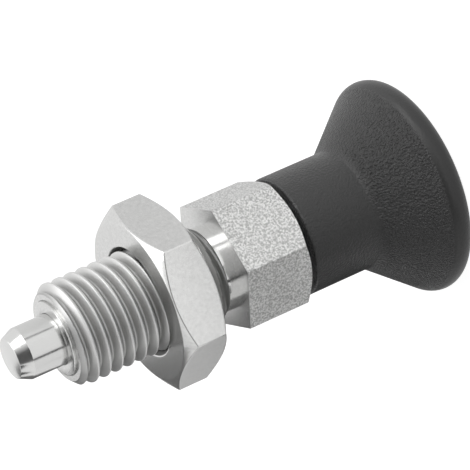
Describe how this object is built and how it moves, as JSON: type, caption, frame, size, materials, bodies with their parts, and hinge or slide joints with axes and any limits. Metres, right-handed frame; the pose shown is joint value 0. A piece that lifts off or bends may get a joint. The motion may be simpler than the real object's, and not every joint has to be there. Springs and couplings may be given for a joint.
{
  "type": "indexing plunger",
  "caption": "Threaded steel guide sleeve with hexagon and locknut, holding a spring-loaded locating pin that is drawn back by a round flared pull knob.",
  "frame": {"origin": "centre of the pull knob's flat back face, at the bottom centre of the box round the whole part", "axes": "+Z along the locating pin, from the knob towards the pin's tip; X and Y are across it, with two corners of the sleeve's hexagon on X"},
  "size_m": [0.0256, 0.0256, 0.0525],
  "materials": {
    "sleeve_steel": "fine turned, blasted flats",
    "bush_steel": "turned",
    "pin_steel": "ground",
    "spring_steel": "drawn wire",
    "knob_plastic": "fine moulded grain",
    "nut_steel": "turned"
  },
  "bodies": {
    "sleeve": {"guide_sleeve": "sleeve_steel", "guide_bush": "bush_steel"},
    "spring": {"compression_spring": "spring_steel"},
    "plunger": {"locating_pin": "pin_steel", "pull_knob": "knob_plastic"},
    "locknut": {"locknut": "nut_steel"}
  },
  "joints": [
    {"name": "knob_turn", "type": "hinge", "parent": "sleeve", "child": "spring", "pos_m": [0, 0, 0], "axis": [0, 0, 1], "continuous": true},
    {"name": "plunger_pull", "type": "slide", "parent": "spring", "child": "plunger", "axis": [0, 0, -1], "range_m": [0, 0.006], "stiffness_N_per_m": 2350, "springref_m": -0.003, "deforming": ["compression_spring"]},
    {"name": "locknut_travel", "type": "slide", "parent": "sleeve", "child": "locknut", "axis": [0, 0, 1], "range_m": [-0.0018, 0.01035]}
  ]
}
